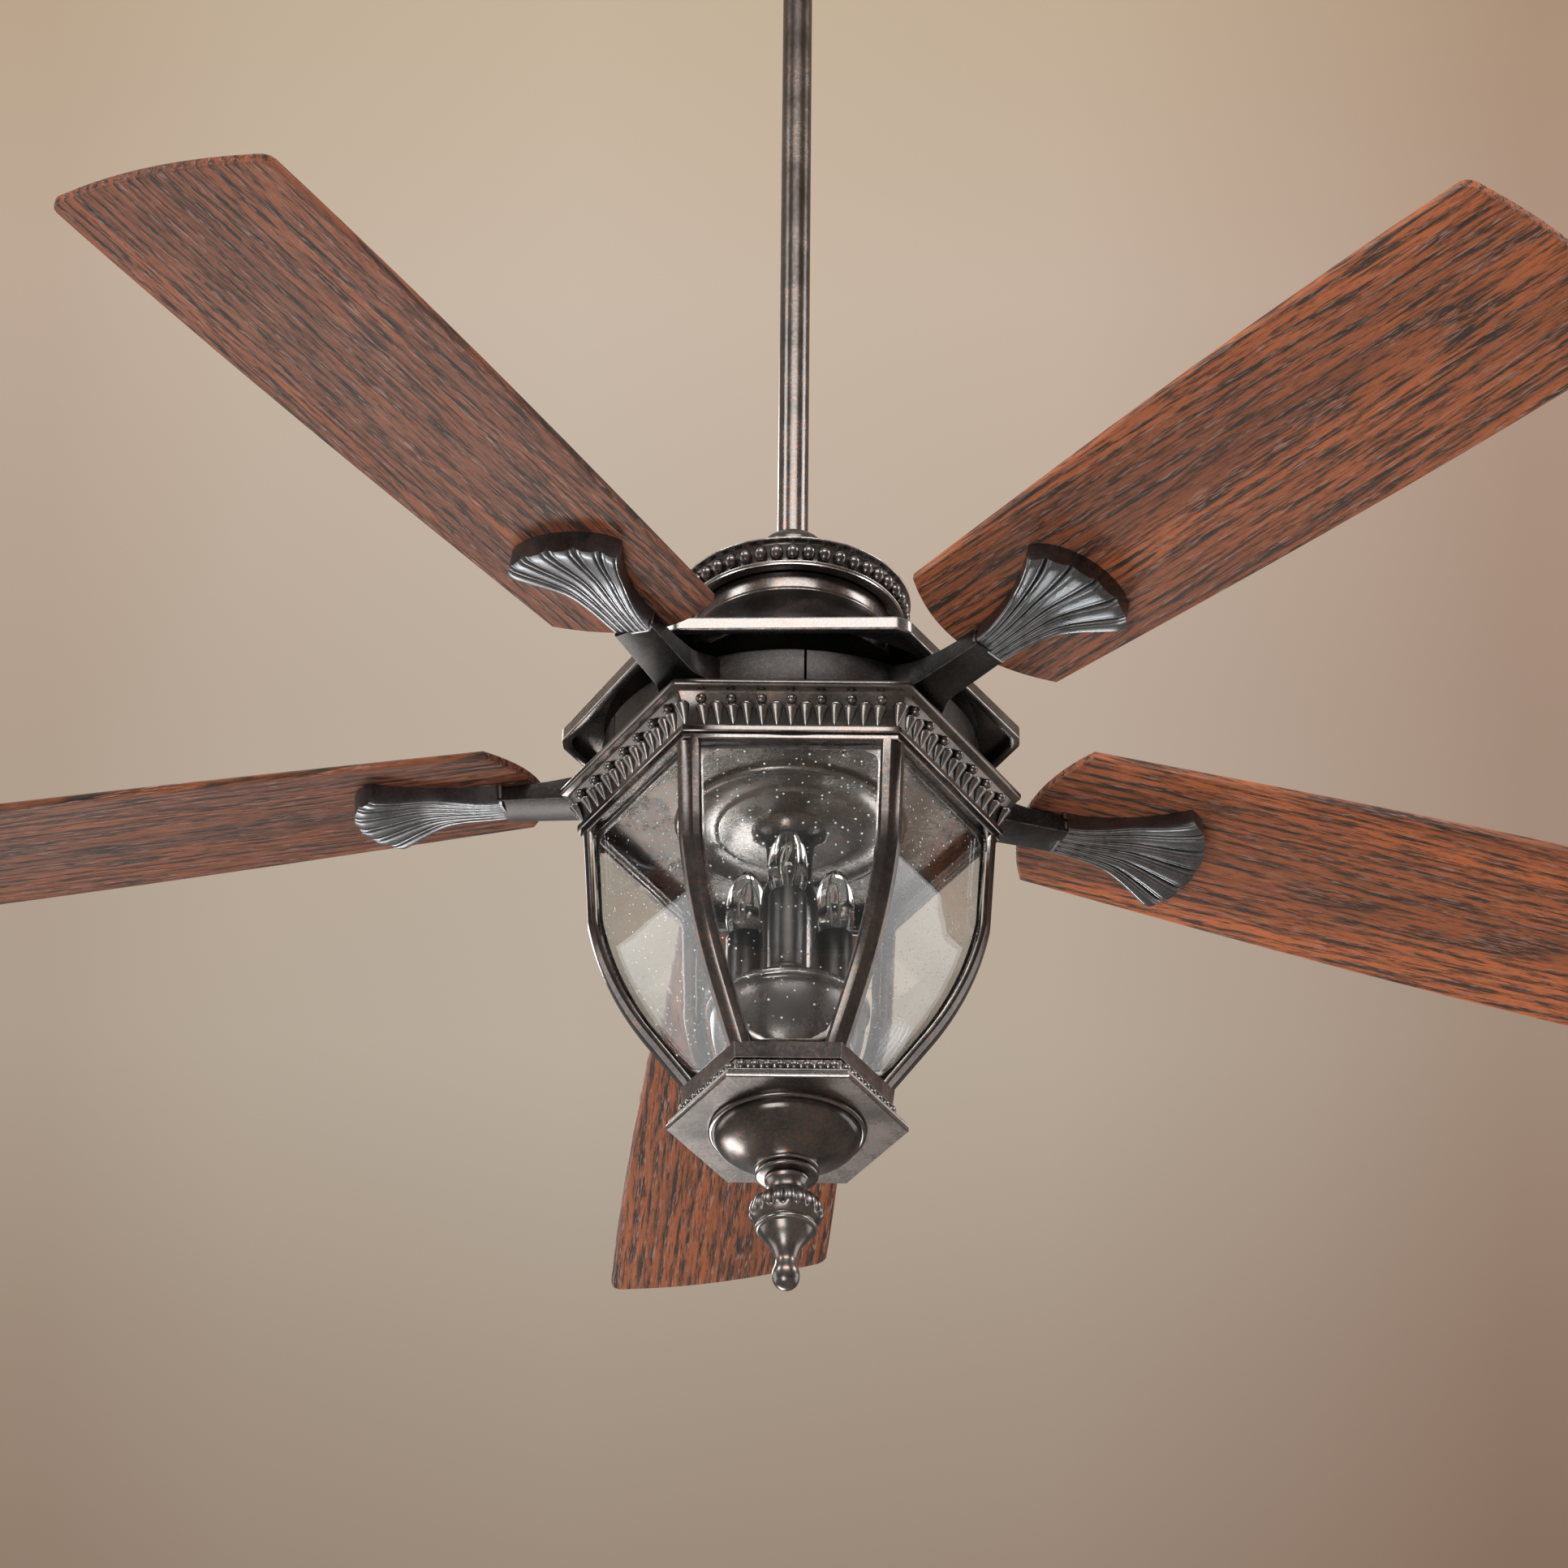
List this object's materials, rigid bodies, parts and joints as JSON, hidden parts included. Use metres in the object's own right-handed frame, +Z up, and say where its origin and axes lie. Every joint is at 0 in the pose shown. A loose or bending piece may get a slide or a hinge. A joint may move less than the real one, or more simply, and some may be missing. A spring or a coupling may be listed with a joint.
{
  "type": "ceiling fan with light",
  "caption": "Downrod ceiling fan with wooden blades on shell-shaped irons and a six-sided glass lantern holding candle lamps.",
  "frame": {"origin": "centre of the two ceiling-box holes, in the plane of the ceiling face", "axes": "+Z up along the downrod into the ceiling, +X along the line of the two ceiling-box holes, -Y towards a lantern side"},
  "size_m": [1.2803, 1.2498, 1.132],
  "materials": {
    "spun_bronze": "oil-rubbed bronze patina on spun steel, mottled rust brown, worn bright on edges",
    "cast_bronze": "oil-rubbed bronze patina on die-cast metal, silvery wear on beads and lips",
    "iron_pewter": "dark pewter on die-cast metal, lighter flute crests",
    "blade_wood": "reddish brown reclaimed-wood grain with grey and dark streaks",
    "lantern_glass": "clear seeded glass",
    "bulb_glass": "clear bulb glass",
    "dark_steel": "dark steel",
    "bright_steel": "bright steel",
    "copper_winding": "enamelled copper wire",
    "white_plastic": "white insulation",
    "black_plastic": "black plastic"
  },
  "bodies": {
    "ceiling_mount": {"hanger_bracket": "dark_steel", "canopy": "spun_bronze", "canopy_screws": "spun_bronze"},
    "fan_body": {"hanger_ball": "dark_steel", "ball_pin": "bright_steel", "downrod": "spun_bronze", "lead_wires": "white_plastic", "coupling_cover": "spun_bronze", "yoke": "dark_steel", "clevis_pin": "bright_steel", "beaded_cap": "cast_bronze", "motor_housing": "spun_bronze", "housing_screws": "bright_steel", "motor_shaft": "bright_steel", "stator_core": "dark_steel", "stator_windings": "copper_winding", "bearing_inner_races": "bright_steel", "reverse_switch_box": "black_plastic", "light_pan": "dark_steel", "crown_ring": "cast_bronze", "crown_screws": "bright_steel", "run_capacitor": "black_plastic", "ceiling_disc": "spun_bronze", "lantern_frame": "cast_bronze", "glass_panel_1": "lantern_glass", "glass_panel_2": "lantern_glass", "glass_panel_3": "lantern_glass", "glass_panel_4": "lantern_glass", "glass_panel_5": "lantern_glass", "glass_panel_6": "lantern_glass", "center_stem": "spun_bronze", "lamp_pipe": "bright_steel", "lamp_cup": "spun_bronze", "candle_sleeve_1": "spun_bronze", "candle_sleeve_2": "spun_bronze", "candle_sleeve_3": "spun_bronze", "lamp_sockets": "white_plastic", "bulb_1": "bulb_glass", "bulb_2": "bulb_glass", "bulb_3": "bulb_glass"},
    "rotor": {"rotor_upper_case": "spun_bronze", "rotor_lower_case": "spun_bronze", "rotor_ring": "dark_steel", "bearing_outer_races": "bright_steel", "bearing_balls": "bright_steel", "blade_arm_1": "iron_pewter", "blade_arm_2": "iron_pewter", "blade_arm_3": "iron_pewter", "blade_arm_4": "iron_pewter", "blade_arm_5": "iron_pewter", "blade_1": "blade_wood", "blade_2": "blade_wood", "blade_3": "blade_wood", "blade_4": "blade_wood", "blade_5": "blade_wood", "rotor_screws": "dark_steel"},
    "switch_slider": {"reverse_switch_slider": "black_plastic"},
    "bottom_cap": {"bottom_plate": "cast_bronze", "bottom_dome": "cast_bronze"},
    "finial_body": {"finial": "cast_bronze"}
  },
  "joints": [
    {"name": "ball_tilt", "type": "hinge", "parent": "ceiling_mount", "child": "fan_body", "pos_m": [0, 0, -0.048], "axis": [1, 0, 0], "range_deg": [-12, 12]},
    {"name": "rotor_spin", "type": "hinge", "parent": "fan_body", "child": "rotor", "pos_m": [0, 0, -0.76], "axis": [0, 0, 1], "continuous": true},
    {"name": "reverse_switch", "type": "slide", "parent": "fan_body", "child": "switch_slider", "axis": [1, 0, 0], "range_m": [-0.003, 0.003]},
    {"name": "cap_drop", "type": "slide", "parent": "fan_body", "child": "bottom_cap", "axis": [0, 0, -1], "range_m": [0, 0.01128]},
    {"name": "finial_unscrew", "type": "hinge", "parent": "bottom_cap", "child": "finial_body", "pos_m": [0, 0, -1.07], "axis": [0, 0, -1], "range_deg": [0, 4320]}
  ],
  "couplings": [
    {"joint": "finial_unscrew", "follows": "cap_drop", "rad_per_m": 6684.2}
  ]
}
